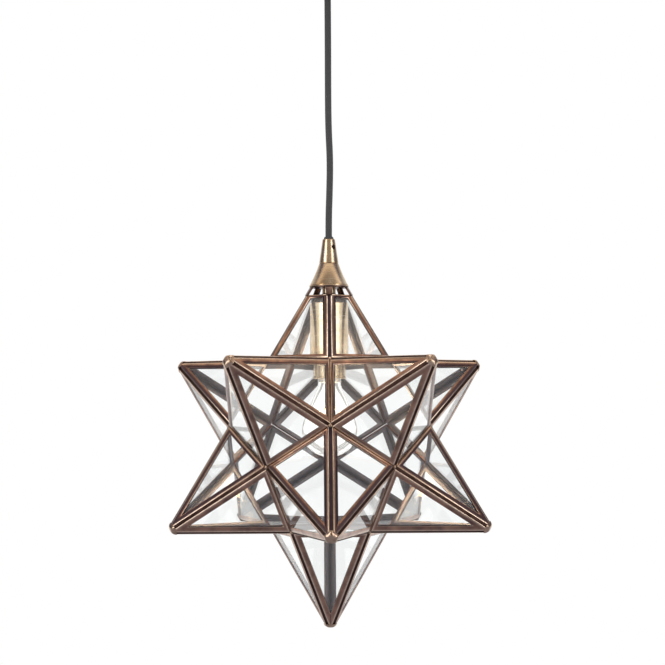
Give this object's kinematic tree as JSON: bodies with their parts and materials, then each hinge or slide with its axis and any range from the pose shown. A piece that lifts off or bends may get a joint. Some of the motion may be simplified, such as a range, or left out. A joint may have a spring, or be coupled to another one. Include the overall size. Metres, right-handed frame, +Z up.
{
  "type": "moravian star pendant",
  "caption": "Clear glass star pendant in antique brass channel frames on a braided cord, with a turned cap, a screw bulb inside and a hinged rear point for changing it.",
  "frame": {"origin": "on the ceiling, at the middle of the two strap holes, above the middle of the star", "axes": "+Z up, -Y towards the viewer of the picture, +X to the viewer's right"},
  "size_m": [0.3352, 0.3516, 0.7188],
  "materials": {
    "frame_metal": "antique copper brass, rubbed bright at the edges and dark in the grooves",
    "clear_glass": "clear sheet glass",
    "solder": "rounded solder with a brass wash",
    "satin_brass": "satin turned antique brass",
    "dark_steel": "blackened steel",
    "zinc_steel": "zinc plated steel",
    "bulb_cap_metal": "thin pressed metal",
    "contact_brass": "plain pressed brass",
    "braided_cord": "charcoal braided textile",
    "cord_core": "insulated core wires in a round cord",
    "dark_rubber": "matt rubber",
    "holder_plastic": "moulded black resin",
    "block_plastic": "moulded white resin",
    "bulb_glass": "clear blown glass",
    "filament": "glowing coiled wire"
  },
  "bodies": {
    "rose": {"ceiling_strap": "zinc_steel", "ceiling_rose": "satin_brass", "rose_side_screws": "dark_steel", "terminal_block": "block_plastic", "terminal_screws": "zinc_steel", "cord_start_and_wires": "cord_core", "rose_threaded_tube": "zinc_steel", "rose_nut": "dark_steel", "cord_grip": "satin_brass"},
    "cord": {"pendant_cord": "braided_cord"},
    "star": {"top_point_frames": "frame_metal", "top_point_panes": "clear_glass", "upper_front_right_point_frames": "frame_metal", "upper_front_right_point_panes": "clear_glass", "upper_right_point_frames": "frame_metal", "upper_right_point_panes": "clear_glass", "upper_left_point_frames": "frame_metal", "upper_left_point_panes": "clear_glass", "upper_front_left_point_frames": "frame_metal", "upper_front_left_point_panes": "clear_glass", "lower_front_point_frames": "frame_metal", "lower_front_point_panes": "clear_glass", "lower_right_point_frames": "frame_metal", "lower_right_point_panes": "clear_glass", "lower_rear_right_point_frames": "frame_metal", "lower_rear_right_point_panes": "clear_glass", "lower_rear_left_point_frames": "frame_metal", "lower_rear_left_point_panes": "clear_glass", "lower_left_point_frames": "frame_metal", "lower_left_point_panes": "clear_glass", "bottom_point_frames": "frame_metal", "bottom_point_panes": "clear_glass", "solder_tips": "solder", "crown_struts": "frame_metal", "crown_plate": "dark_steel", "crown_nut": "dark_steel", "cap_lower_cone": "satin_brass", "cap_upper_cone": "satin_brass", "cap_set_screw": "dark_steel", "cap_threaded_tube": "zinc_steel", "cord_bushing": "dark_rubber", "brass_neck": "satin_brass", "neck_lock_ring": "dark_steel", "cord_end_and_wires": "cord_core", "socket_sleeve": "satin_brass", "socket_collar": "satin_brass", "lampholder_body": "holder_plastic", "screw_shell": "contact_brass", "middle_contact": "contact_brass", "hinge_fixed_knuckles": "frame_metal", "hinge_pin": "dark_steel"},
    "door": {"door_point_frames": "frame_metal", "door_point_panes": "clear_glass", "door_point_tip": "solder", "hinge_door_knuckle": "frame_metal"},
    "bulb": {"bulb_screw_cap": "bulb_cap_metal", "bulb_glass": "bulb_glass", "bulb_stem": "bulb_glass", "bulb_filament": "filament"}
  },
  "joints": [
    {"name": "cord_swing", "type": "hinge", "parent": "rose", "child": "cord", "pos_m": [0, 0, -0.036], "axis": [0, 1, 0], "range_deg": [-25, 25]},
    {"name": "star_twist", "type": "hinge", "parent": "cord", "child": "star", "pos_m": [0, 0, -0.3006], "axis": [0, 0, 1], "range_deg": [-90, 90]},
    {"name": "door_hinge", "type": "hinge", "parent": "star", "child": "door", "pos_m": [0, 0.05747, -0.43101], "axis": [1, 0, 0], "range_deg": [0, 100]},
    {"name": "bulb_turn", "type": "hinge", "parent": "star", "child": "bulb", "pos_m": [0, 0, -0.444], "axis": [0, 0, 1], "continuous": true}
  ]
}
